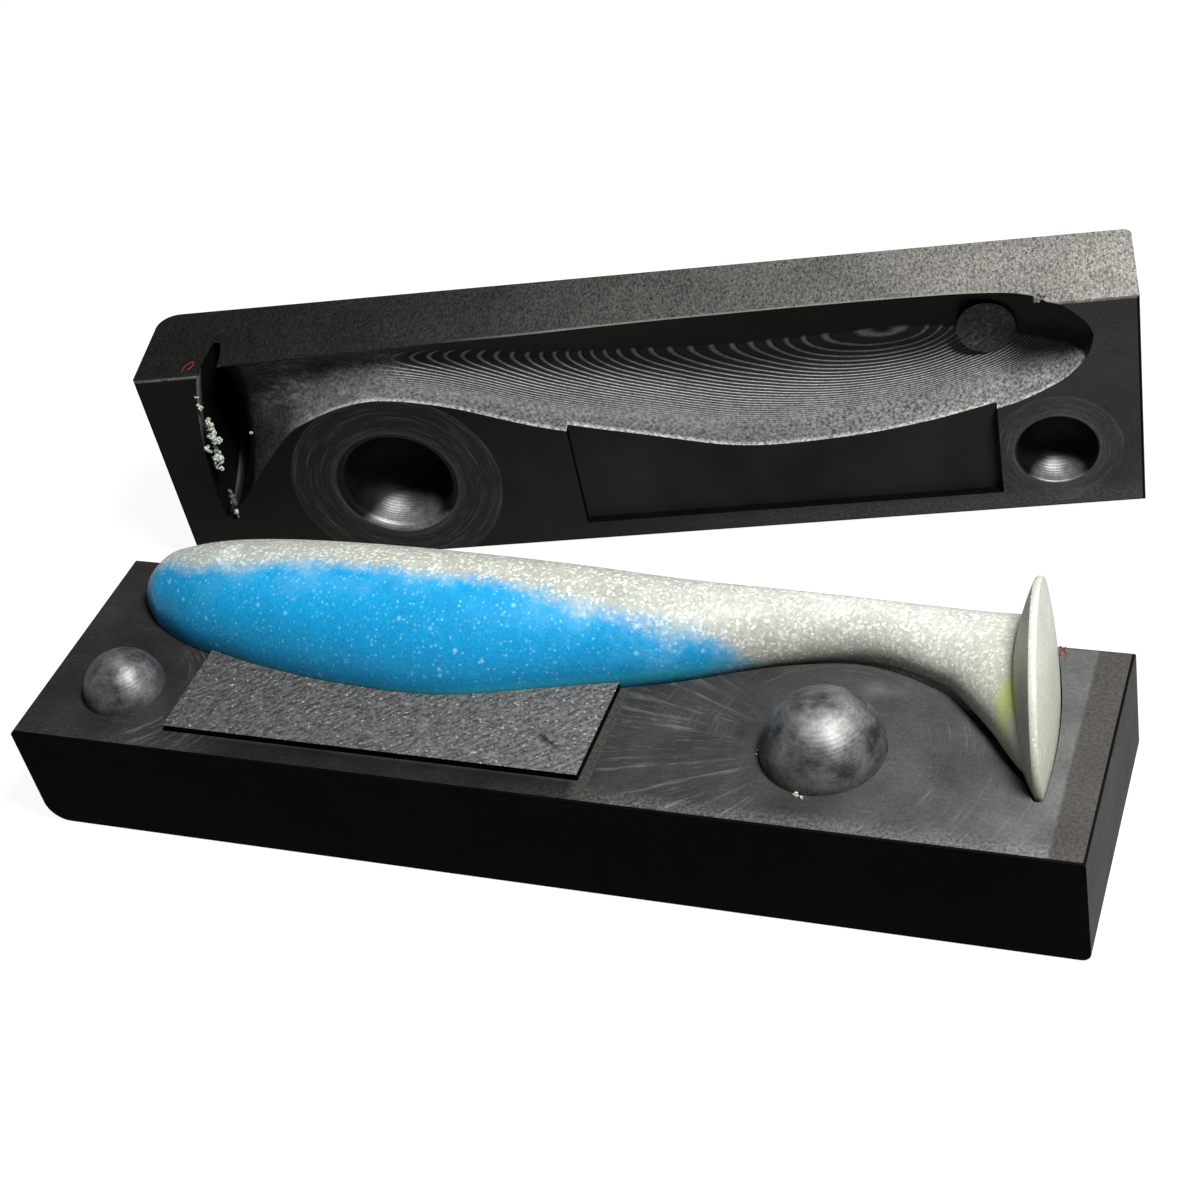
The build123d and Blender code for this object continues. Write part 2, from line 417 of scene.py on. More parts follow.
def socket_hole(plane, centre, radius, mouth):
    """A round hollow with a rounded rim, run out beyond the parting face."""
    rim = math.sqrt((radius + mouth) ** 2 - mouth**2)
    low = math.asin(mouth / (radius + mouth))
    bowl_steps, rim_steps = 40, 10
    profile = [(POINT, radius)]
    for i in range(1, bowl_steps + 1):
        turn = math.pi / 2 - (math.pi / 2 - low) * i / bowl_steps
        profile.append((radius * math.cos(turn), radius * math.sin(turn)))
    for i in range(1, rim_steps + 1):
        turn = math.pi + low + (math.pi / 2 - low) * i / rim_steps
        profile.append((rim + mouth * math.cos(turn), mouth + mouth * math.sin(turn)))
    profile.append((rim, -MM))
    return spun("socket", plane @ Matrix.Translation(centre), profile)


def eye_post(block, lure, plane, side, radius, top):
    """A round post from its flat end outwards."""
    high = (block.thickness + lure.width / 2) / 2 - top
    x = nose_place(block, lure) + lure.eye_station
    y = block.width / 2 - lure.eye_depth
    place = plane @ Matrix.Translation((x, y, side * (top + high / 2)))
    ends = {"radius1": radius, "radius2": radius, "depth": high, "segments": 96, "cap_ends": True}
    return solid("eye_post", bmesh.ops.create_cone, place, **ends)


def ball(plane, centre, radius):
    return solid("ball", bmesh.ops.create_icosphere, plane @ Matrix.Translation(centre), subdivisions=6, radius=radius)


def key_box(block, lure, plane, end_grow, side_grow, height):
    """The key pad, or its pocket when grown, run on under the cavity."""
    left = -block.span / 2 + block.pad_from_head - end_grow
    front = -block.width / 2 + block.pad_from_belly - side_grow
    low = Vector((left, front, -MM))
    high = Vector((left + block.pad_span + 2 * end_grow, block.width / 2 - lure.eye_depth, height))
    place = plane @ Matrix.Translation((low + high) / 2) @ Matrix.Diagonal((*(high - low), 1))
    return solid("key_box", bmesh.ops.create_cube, place, size=1)


def round_edges(bm, plane, pick, radius, segments):
    """Bevels the edges that pick takes by their middle, direction and length in the plane's own axes."""
    back = plane.inverted()
    found = []
    for edge in bm.edges:
        a, b = (back @ vertex.co for vertex in edge.verts)
        if pick((a + b) / 2, (b - a).normalized(), (b - a).length):
            found.append(edge)
    bmesh.ops.bevel(
        bm, geom=found, offset=radius, offset_type="OFFSET", segments=segments, profile=0.5,
        affect="EDGES", clamp_overlap=True, material=-1,
    )


def plain_block(block, plane, side):
    """One half before its cuts, side -1 below its parting plane and 1 above it."""
    bm = bmesh.new()
    centre = Matrix.Translation((0, 0, side * block.thickness / 2))
    size = Matrix.Diagonal((block.span, block.width, block.thickness, 1))
    bmesh.ops.create_cube(bm, size=1, matrix=plane @ centre @ size)

    def across_end(end):
        far = block.thickness * 0.9
        return lambda at, way, run: at.z * side > far and abs(way.y) > 0.9 and at.x * end > block.span / 3

    def down_side(at, way, run):
        flush = abs(abs(at.y) - block.width / 2) < 10 * MERGE
        return flush and at.z * side > BESIDE and run > MERGE and abs(way.z) < SQUARE

    def on_parting(at, way, run):
        return abs(at.z) < 10 * MERGE

    round_edges(bm, plane, across_end(side), block.round_end, 8)
    round_edges(bm, plane, across_end(-side), block.square_end, 8)
    round_edges(bm, plane, down_side, block.side_round, 4)
    round_edges(bm, plane, on_parting, block.face_round, 3)
    bmesh.ops.recalc_face_normals(bm, faces=bm.faces)
    return new_piece("block", bm)


def hollow(half, block, lure, plane, side):
    """Cuts the lure's cavity and stands the eye boss in it."""
    combine(half, body_tube(block, lure, plane, lure.clearance), "DIFFERENCE")
    combine(half, paddle_lens(block, lure, plane, lure.clearance), "DIFFERENCE")
    radius = lure.eye / 2 - lure.clearance
    combine(half, eye_post(block, lure, plane, side, radius, lure.eye_spacing + lure.clearance), "UNION")


def on_ball(at, centre, radius):
    """Whether a place lies on a ball, on the side that its half's domes or sockets take."""
    return abs((at - centre).length - radius) < 2 * BESIDE and at.z > ON


def within_edges(block, at):
    """Whether a place lies inside the rounded edges of the block's plan."""
    return max(abs(at.x) - block.span / 2, abs(at.y) - block.width / 2) < -block.face_round


def finish_piece(piece, name, materials, choose=lambda face: "all", sharp=28):
    """Names the piece, gives each face the material that choose names and marks its creases."""
    piece.name = name
    piece.data.name = name
    for material in materials.values():
        piece.data.materials.append(material)
    order = list(materials)
    bm = bmesh.new()
    bm.from_mesh(piece.data)
    bmesh.ops.remove_doubles(bm, verts=bm.verts, dist=MERGE)
    bmesh.ops.dissolve_degenerate(bm, edges=bm.edges, dist=MERGE)
    for face in bm.faces:
        face.material_index = order.index(choose(face))
        face.smooth = True
    limit = math.radians(sharp)
    for edge in bm.edges:
        if edge.is_manifold:
            border = len({face.material_index for face in edge.link_faces}) > 1
            edge.smooth = edge.calc_face_angle(0) < (limit / 2 if border else limit)
        else:
            edge.smooth = False
    bm.to_mesh(piece.data)
    bm.free()
    even = piece.modifiers.new("even shading", "WEIGHTED_NORMAL")
    even.keep_sharp = True
    return piece


class Nodes:
    """Short calls for the nodes of one tree."""

    def __init__(self, tree):
        self.tree = tree
        tree.nodes.clear()

    def put(self, socket, value):
        if isinstance(value, bpy.types.NodeSocket):
            self.tree.links.new(value, socket)
        elif socket.type == "RGBA" and len(value) == 3:
            socket.default_value = (*value, 1)
        else:
            socket.default_value = value

    def node(self, kind, inputs=None, **settings):
        made = self.tree.nodes.new("ShaderNode" + kind)
        for name, value in settings.items():
            setattr(made, name, value)
        for key, value in (inputs or {}).items():
            self.put(made.inputs[key], value)
        return made


class Finish(Nodes):
    """One material, on Object coordinates in a plane's own axes."""

    def __init__(self, name, plane=None):
        self.material = bpy.data.materials.new(name)
        self.material.use_nodes = True
        super().__init__(self.material.node_tree)
        self.shader = self.node("BsdfPrincipled")
        self.output = self.node("OutputMaterial", {0: self.shader.outputs[0]})
        self.local = self.node("TexCoord").outputs["Object"]
        if plane:
            place = {"Vector": self.local, "Location": plane.to_translation(), "Rotation": plane.to_euler("XYZ")}
            self.local = self.node("Mapping", place, vector_type="TEXTURE").outputs[0]
        self.x, self.y, self.z = self.axes(self.local)

    def made(self, colour, roughness, specular, height=None, distance=0.0, **others):
        """Sets the shader's inputs, with a bump where a height is given, and gives the material."""
        values = {"Base Color": colour, "Roughness": roughness, "Specular IOR Level": specular, **others}
        if height:
            values["Normal"] = self.bump(height, distance)
        for name, value in values.items():
            self.put(self.shader.inputs[name], value)
        return self.material

    def axes(self, vector):
        return self.node("SeparateXYZ", {0: vector}).outputs

    def join(self, x, y, z):
        return self.node("CombineXYZ", {0: x, 1: y, 2: z}).outputs[0]

    def math(self, operation, a, b=0.0, c=0.0):
        return self.node("Math", {0: a, 1: b, 2: c}, operation=operation).outputs[0]

    def add(self, a, b):
        return self.math("ADD", a, b)

    def less(self, a, b):
        return self.math("SUBTRACT", a, b)

    def power(self, a, b):
        return self.math("POWER", a, b)

    def over(self, a, b):
        return self.math("DIVIDE", a, b)

    def mad(self, a, b, c):
        """a times b plus c."""
        return self.math("MULTIPLY_ADD", a, b, c)

    def rest(self, share):
        return self.math("SUBTRACT", 1.0, share)

    def both(self, *shares):
        found = shares[0]
        for other in shares[1:]:
            found = self.math("MULTIPLY", found, other)
        return found

    def either(self, *shares):
        found = shares[0]
        for other in shares[1:]:
            found = self.math("MAXIMUM", found, other)
        return found

    def blend(self, share, a, b):
        """From a to b as the share goes from 0 to 1."""
        return self.add(self.both(a, self.rest(share)), self.both(b, share))

    def span(self, value, low, high, to_low=0.0, to_high=1.0, smooth=False):
        """A value between low and high, mapped to a range and held at its ends."""
        kind = "SMOOTHSTEP" if smooth else "LINEAR"
        inputs = {0: value, 1: low, 2: high, 3: to_low, 4: to_high}
        return self.node("MapRange", inputs, clamp=True, interpolation_type=kind).outputs[0]

    def vary(self, value, to_low, to_high):
        """A noise's middle range, mapped to a range of its own."""
        return self.span(value, 0.3, 0.7, to_low, to_high)

    def band(self, value, middle, half):
        """1 at the middle, falling to 0 at half on either side."""
        return self.span(self.math("ABSOLUTE", self.less(value, middle)), 0.0, half, 1.0, 0.0, True)

    def wave(self, value, pitch):
        return self.math("SINE", self.both(value, 2 * math.pi / pitch))

    def noise(self, scale, detail=3, roughness=0.7, vector=None, distortion=0.0):
        inputs = {
            "Vector": vector or self.local, "Scale": scale, "Detail": detail, "Roughness": roughness,
            "Distortion": distortion,
        }
        return self.node("TexNoise", inputs).outputs["Fac"]

    def streaks(self, scales, detail=3, roughness=0.7, vector=None, distortion=0.0):
        """Noise with a scale of its own along each axis."""
        inputs = {0: vector or self.local, 1: scales}
        stretched = self.node("VectorMath", inputs, operation="MULTIPLY").outputs[0]
        return self.noise(1.0, detail, roughness, stretched, distortion)

    def scratches(self, a, a_scale, b, b_scale, seed, detail):
        """Noise over two values, drawn out along the one with the smaller scale."""
        return self.noise(1.0, detail, 0.8, self.join(self.both(a, a_scale), self.both(b, b_scale), seed))

    def cells(self, scale, output="Distance"):
        inputs = {"Vector": self.local, "Scale": scale, "Randomness": 1.0}
        return self.node("TexVoronoi", inputs).outputs[output]

    def cell_draws(self, scale):
        """Three random shares for each cell."""
        return self.node("SeparateColor", {0: self.cells(scale, "Color")}).outputs

    def turned(self, degrees, centre=(0, 0, 0)):
        inputs = {"Vector": self.local, "Center": centre, "Angle": math.radians(degrees)}
        return self.node("VectorRotate", inputs, rotation_type="Z_AXIS").outputs[0]

    def polar(self, centre):
        """Distance and turn about a point."""
        dx, dy = self.less(self.x, centre[0]), self.less(self.y, centre[1])
        away = self.math("SQRT", self.add(self.both(dx, dx), self.both(dy, dy)))
        return away, self.math("ARCTAN2", dy, dx)

    def along(self, block, lure):
        """Share of the lure's length."""
        return self.over(self.less(self.x, nose_place(block, lure)), lure.span)

    def curve(self, value, points):
        """A value passed through a drawn curve from 0 to 1."""
        made = self.node("FloatCurve", {"Value": value})
        drawn = made.mapping.curves[0].points
        drawn[0].location = points[0]
        drawn[1].location = points[-1]
        for point in points[1:-1]:
            drawn.new(*point)
        made.mapping.update()
        return made.outputs[0]

    def mix(self, share, a, b, blend="MIX"):
        return self.node("Mix", {0: share, 6: a, 7: b}, data_type="RGBA", blend_type=blend).outputs[2]

    def tone(self, colour, share):
        """A colour times a share that varies over the surface."""
        return self.mix(1.0, colour, self.join(share, share, share), "MULTIPLY")

    def bump(self, height, distance, strength=1.0, under=None):
        inputs = {"Height": height, "Distance": distance, "Strength": strength}
        if under:
            inputs["Normal"] = under
        return self.node("Bump", inputs).outputs[0]


def wall_finish(name, colours, plane, tone=0.4):
    """Smooth printed side wall: faint layer lines and a fine grain."""
    f = Finish(name, plane)
    line = f.wave(f.z, 0.2 * MM)
    speck = f.noise(2600, 3, 0.65)
    broad = f.noise(60, 3, 0.6)
    shade = f.tone(colours.black, f.vary(broad, 0.8 * tone, 1.5 * tone))
    return f.made(shade, 0.55, 0.02, f.mad(line, 0.25, speck), 0.02 * MM)


def back_finish(block, lure, plane):
    """Rough back face: a brownish grain under a painted light gradient that brightens towards the head, and a rounded
    lip along the slot, worn grey with a painted highlight.
    """
    f = Finish("upper_back", plane)
    low, high = 0.0075, 0.175
    brown, lip_wear_and_highlight = (1.0, 0.965, 0.885), (0.20, 0.195, 0.175)
    strand = f.streaks((3400, 1300, 1200))
    rough = f.mad(strand, 0.55, f.both(f.noise(2900), 0.45))
    broad = f.noise(70, 3, 0.6)
    # Painted light: the grain brightens steeply towards the head end
    level = f.mad(f.power(f.span(f.x, 0.066, -0.070), 2.4), high - low, low)
    level = f.both(level, f.span(rough, 0.38, 0.64, 0.25, 1.95), f.vary(broad, 0.8, 1.2))
    along = f.along(block, lure)
    away = f.less(f.z, f.both(f.curve(along, slot_widths(lure)), SLOT_UNIT))
    run = f.both(f.span(along, 0.03, 0.06), f.span(along, 0.70, 0.58))
    # The slot's rounded lip: worn grey with a painted highlight along it
    lip = f.both(f.span(away, 1.05 * MM, 0.55 * MM, 0.0, 1.0, True), run)
    shade = f.both(lip, f.span(f.streaks((260, 1, 1400), 3, 0.6), 0.25, 0.6, 0.55, 1.0))
    return f.made(f.mix(f.both(shade, 0.55), f.tone(brown, level), lip_wear_and_highlight), 0.62, 0.10, rough, 0.07 * MM)


def end_finish(name, plane, low=0.018, high=0.062):
    """Rough printed end, brownish grey."""
    f = Finish(name, plane)
    speck = f.noise(1900)
    rough = f.mad(f.streaks((900, 420, 2400)), 0.5, f.both(speck, 0.5))
    level = f.both(f.span(rough, 0.36, 0.66, low, high), f.vary(f.noise(140, 3, 0.6), 0.7, 1.2))
    return f.made(f.tone((1.0, 0.95, 0.85), level), 0.6, 0.12, rough, 0.05 * MM)


def face_finish(block, lure, plane):
    """Parting face of the upper half: turned discs round its sockets, paler towards the head."""
    f = Finish("upper_face", plane)
    large, small = dome_places(block, lure)
    away, turn = f.polar(large)
    near, bend = f.polar(small)
    ring_pitch = 0.42 * MM
    rings = f.scratches(away, 1 / ring_pitch, turn, 1.3, 0.0, 3)
    curls = f.scratches(near, 1 / ring_pitch, bend, 1.3, 4.0, 3)
    speck = f.noise(2200)
    broad = f.noise(80, 4, 0.65)
    head = f.power(f.span(f.x, 0.050, -0.070), 1.6)
    ground = f.both(f.mad(head, 0.022, 0.0048), f.vary(speck, 0.7, 1.3), f.vary(broad, 0.75, 1.25))
    disc = f.span(away, 15.7 * MM, 15.3 * MM)
    dish = f.span(near, 9.4 * MM, 9.0 * MM)
    rim = f.either(
        f.both(f.band(away, 15.4 * MM, 0.22 * MM), f.span(turn, -2.6, 0.4)),
        f.both(f.band(near, 9.1 * MM, 0.18 * MM), f.span(bend, -0.4, 1.2)),
    )
    line = f.either(f.both(disc, f.span(rings, 0.50, 0.74)), f.both(dish, f.span(curls, 0.50, 0.74)))
    collar = f.either(
        f.span(away, 10.4 * MM, 8.9 * MM, 0.0, 1.0, True), f.span(near, 7.4 * MM, 6.0 * MM, 0.0, 0.8, True)
    )
    belly = -block.width / 2
    low = f.both(f.span(f.y, belly + 4.2 * MM, belly + 2.0 * MM), f.span(f.x, 0.010, -0.030))
    level = f.add(ground, f.both(f.either(disc, f.both(dish, 0.5)), 0.006))
    level = f.add(level, f.both(line, 0.044))
    level = f.add(level, f.both(rim, 0.014))
    level = f.add(level, f.both(low, f.span(speck, 0.35, 0.65, 0.004, 0.030)))
    level = f.add(level, f.both(collar, 0.016))
    height = f.add(f.both(speck, 0.4), f.both(f.either(disc, dish), f.either(rings, curls)))
    return f.made(f.tone((1.0, 0.975, 0.93), level), 0.5, 0.16, height, 0.035 * MM)


def sanded_finish(block, lure, plane):
    """Sanded parting face of the lower half: a fan and arcs of scratches round the domes, under a painted sheen that
    brightens towards the tail.
    """
    f = Finish("sanded_face", plane)
    large, small = dome_places(block, lure)
    away, turn = f.polar(large)
    near, bend = f.polar(small)
    arcs = f.scratches(away, 2100, turn, 1.6, 0.0, 4)
    fan = f.scratches(turn, 17, away, 60, 3.0, 4)
    thin = f.scratches(turn, 46, away, 90, 9.0, 3)
    curls = f.scratches(near, 1500, bend, 1.5, 6.0, 4)
    straight = f.streaks((240, 2600, 1), 4, 0.7)
    patch = f.noise(90, 4, 0.65)
    speck = f.noise(2200)

    west = f.either(f.span(turn, -1.5, -2.1), f.span(turn, 2.3, 2.9))
    reach = f.both(f.span(away, 0.0085, 0.012), f.span(away, 0.036, 0.024))
    fan_line = f.both(f.either(f.span(fan, 0.53, 0.66), f.span(thin, 0.58, 0.72, 0.0, 0.7)), west, reach)
    east = f.span(turn, -2.4, -1.2)
    arc_line = f.both(
        f.span(arcs, 0.55, 0.72, 0.0, 0.8), f.span(away, 0.010, 0.014), f.span(away, 0.034, 0.022), east
    )
    curl_zone = f.both(f.span(bend, -1.5, -1.0), f.span(bend, 1.2, 0.5), f.span(near, 0.0075, 0.009))
    curl_line = f.both(f.span(curls, 0.50, 0.66), curl_zone, f.span(near, 0.022, 0.013))
    straight_line = f.span(straight, 0.58, 0.78, 0.0, 0.55)
    lines = f.either(fan_line, arc_line, curl_line, straight_line)

    # Painted sheen: the face brightens steeply towards the tail end
    tail = f.power(f.span(f.x, -0.070, 0.070), 5.0)
    level = f.both(f.mad(tail, 0.068, 0.0145), f.span(patch, 0.3, 0.72, 0.6, 1.35), f.vary(speck, 0.75, 1.25))
    level = f.mad(f.both(lines, f.span(patch, 0.32, 0.6, 0.45, 1.0)), 0.062, level)
    front = f.both(f.span(f.y, -0.0145, -0.0165), f.span(f.x, -0.004, 0.016, 0.15, 1.0))
    level = f.mad(f.both(front, f.span(speck, 0.4, 0.6)), 0.05, level)
    smudge = f.both(f.band(f.x, 0.0416, 0.0042), f.band(f.y, 0.0067, 0.0022), f.span(patch, 0.35, 0.6))
    level = f.mad(smudge, 0.06, level)

    # The face shows bare grain beyond the pad and at the tail end, and has painted shade below the pad's front
    pad_end = -block.span / 2 + block.pad_from_head + block.pad_span
    tail_end, belly = block.span / 2, -block.width / 2
    strip = f.either(
        f.both(f.span(f.x, pad_end + 1.5 * MM, pad_end + 1.2 * MM), f.span(f.x, pad_end - MM, pad_end)),
        f.span(f.x, tail_end - 4.6 * MM, tail_end - 4.2 * MM),
    )
    bare = f.tone((1.0, 0.90, 0.78), f.span(speck, 0.35, 0.65, 0.018, 0.048))
    # Painted shade in front of the raised pad
    under = f.both(f.span(f.x, pad_end + 0.3 * MM, pad_end), f.span(f.y, belly + 3.3 * MM, belly + 3.0 * MM))
    level = f.both(level, f.rest(f.both(under, f.span(f.x, -0.045, -0.040), 0.6)))
    height = f.less(f.both(speck, 0.4), f.both(lines, 0.5))
    shade = f.mix(f.both(strip, 0.85), f.tone((1.0, 0.995, 0.97), level), bare)
    return f.made(shade, f.vary(patch, 0.42, 0.56), 0.30, height, 0.03 * MM)


def strand_finish(name, plane, low, high, slant=-42, scratch=None):
    """Printed top surface with slanting strands, a grain with painted glints and a dull scratch where one is placed."""
    f = Finish(name, plane)
    strand = f.streaks((520, 2100, 1), 3, 0.75, f.turned(slant), 0.3)
    rough = f.mad(strand, 0.55, f.both(f.noise(1900, 3, 0.75), 0.45))
    # Painted glints on the strands
    glint = f.span(f.streaks((1500, 1900, 1), 2, 0.6), 0.62, 0.70)
    level = f.mad(f.span(rough, 0.42, 0.62), high - low, low)
    level = f.mad(glint, high * 1.7, level)
    level = f.both(level, f.span(f.x, -0.050, 0.006, 0.8, 1.15))
    if scratch:
        half_length, half_width, slope = 4.4 * MM, 0.75 * MM, 29
        far, off, _ = f.axes(f.turned(slope, scratch))
        mark = f.both(f.band(far, scratch[0], half_length), f.band(off, scratch[1], half_width))
        level = f.both(level, f.rest(f.both(mark, f.span(rough, 0.40, 0.60, 1.0, 0.6))))
    return f.made(f.tone((1.0, 0.995, 0.97), level), 0.5, 0.3, rough, 0.10 * MM)


def dome_finish(name, plane, low, high, specular, rings, sockets=None):
    """Burnished dome or socket: silvery and mottled, with faint turned rings. Inside a socket, all but the lowest part
    is in painted shadow.
    """
    f = Finish(name, plane)
    patch = f.noise(330, 4, 0.65)
    broad = f.noise(130, 2, 0.5)
    speck = f.noise(2300, 2, 0.6)
    ring = f.wave(f.z, 0.4 * MM)
    shade = f.both(f.span(patch, 0.32, 0.70, low, high), f.vary(speck, 0.85, 1.15))
    shade = f.both(shade, f.mad(ring, rings * 0.5, 1.0))
    rust = f.both(f.span(broad, 0.56, 0.68), f.span(patch, 0.45, 0.6))
    if sockets:
        (large, wide), (small, narrow) = sockets
        # Painted shadow: inside a socket all but the lowest part is darkened nearly to black
        up = f.less(f.y, f.span(f.x, -MM, MM, small.y, large.y))
        up = f.over(up, f.span(f.x, -MM, MM, narrow, wide))
        shade = f.both(shade, f.span(up, -0.88, -0.66, 1.0, 0.04, True))
    shade = f.mix(f.both(rust, 0.55), f.tone((1.0, 0.985, 0.955), shade), f.tone((1.0, 0.72, 0.62), shade))
    height = f.mad(ring, rings, f.both(speck, 0.35))
    return f.made(shade, f.vary(patch, 0.46, 0.58), specular, height, 0.02 * MM, Metallic=0.8)


def cavity_finish(name, block, lure, plane):
    """The cavity: printed steps below its deepest line, painted shadow on the wall above, grain by the lip and a rough
    stem.
    """
    f = Finish(name, plane)
    along = f.along(block, lure)
    above = f.mad(f.curve(along, DEEPEST), lure.depth, f.less(f.y, block.width / 2))
    speck = f.noise(2100)
    patch = f.noise(110, 4, 0.65)

    # The printed steps are drawn finer than the layers, and wander a little
    wobble = f.streaks((90, 90, 20), 2, 0.5)
    depth = f.both(f.z, f.curve(along, STEPS))
    layers = f.over(f.mad(wobble, 0.06 * MM, depth), block.layer * 0.62)
    part = f.math("FRACT", layers)
    stair = f.add(f.math("FLOOR", layers), f.span(part, 0.55, 0.95, 0.0, 1.0, True))
    height = f.less(layers, stair)
    # Each step's riser gets a painted highlight, with a dark line after it
    riser = f.both(f.span(part, 0.56, 0.72), f.span(part, 0.94, 0.82))
    gap = f.span(part, 0.90, 0.98)
    lit = f.both(riser, f.span(speck, 0.30, 0.62, 0.45, 1.0))
    steps = f.both(f.mad(lit, 0.42, 0.038), f.span(along, 0.40, 0.70, 1.0, 0.75))
    steps = f.both(steps, f.rest(f.both(gap, 0.75)))

    # Grain by the lip, with painted light that brightens it towards the head
    widest = f.curve(along, WIDEST)
    steep = f.span(f.over(f.z, f.both(widest, lure.width / 2)), 0.78, 0.42)
    stem = f.span(along, 0.74, 0.79)
    plain = f.either(stem, f.both(steep, 0.85))
    grain = f.both(f.span(speck, 0.36, 0.64, 0.015, 0.145), f.span(along, 0.34, 0.12, 1.0, 1.9))

    # The stem before the paddle, rough and smeared
    lumps = f.streaks((500, 900, 500), 4, 0.75)
    smear = f.both(f.span(lumps, 0.46, 0.66), f.band(along, 0.895, 0.05), f.span(above, -3.4 * MM, -2.4 * MM))
    smeared = f.mad(smear, 0.22, f.both(f.vary(patch, 0.03, 0.10), f.span(speck, 0.32, 0.68, 0.3, 1.7)))
    smeared = f.mad(f.span(f.z, 3.6 * MM, 0.4 * MM), f.vary(speck, 0.004, 0.018), smeared)
    smeared = f.both(smeared, f.span(along, 0.90, 0.82, 0.50, 1.8))

    # The wall above the deepest line, darkened as painted shadow
    shadowed_roof = f.both(f.span(above, -0.1 * MM, 0.5 * MM, 0.0, 1.0, True), f.span(along, 0.84, 0.70, 0.25, 1.0))
    dark = f.both(f.span(along, 0.30, 0.80, 0.011, 0.034), f.vary(speck, 0.8, 1.2))
    level = f.blend(shadowed_roof, f.blend(stem, f.blend(plain, steps, grain), smeared), dark)

    # The paddle's slot is darkened nearly to black, painted shade in the deep slot, but for the torn plastic at its
    # mouth
    lean = f.mad(f.less(f.y, block.width / 2 - lure.paddle_depth), math.tan(lure.paddle_tilt), f.x)
    slot = f.span(lean, 0.0570, 0.0578)
    level = f.both(level, f.rest(f.both(slot, 0.93)), f.vary(patch, 0.85, 1.15))

    # A painted highlight runs along the crest of the lip, at the pocket's floor where the pocket lowers it
    pad_start = block.pad_from_head - block.end_clearance - block.span / 2
    pad_end = pad_start + block.pad_span + 2 * block.end_clearance
    keyed = f.both(
        f.span(f.x, pad_start - BESIDE, pad_start), f.span(f.x, pad_end + BESIDE, pad_end), block.pocket_depth
    )
    below = f.less(f.math("ABSOLUTE", f.z), keyed)
    crest_highlight = f.both(f.span(below, 0.85 * MM, 0.25 * MM), f.span(above, 0.0, -MM), f.span(along, 0.88, 0.83))
    level = f.add(level, f.both(crest_highlight, f.span(speck, 0.35, 0.6, 0.05, 0.24)))
    torn = f.both(f.span(lean, 0.0585, 0.0605), f.span(f.y, 0.004, 0.015), f.span(f.z, 2.6 * MM, 0.0))
    level = f.mad(torn, f.vary(speck, 0.06, 0.35), level)
    stepped = f.both(height, f.rest(plain), f.rest(shadowed_roof))
    normal = f.bump(stepped, block.layer, 0.8, f.bump(speck, 0.05 * MM))
    return f.made(f.tone((1.0, 0.99, 0.95), level), 0.5, 0.18, Normal=normal)


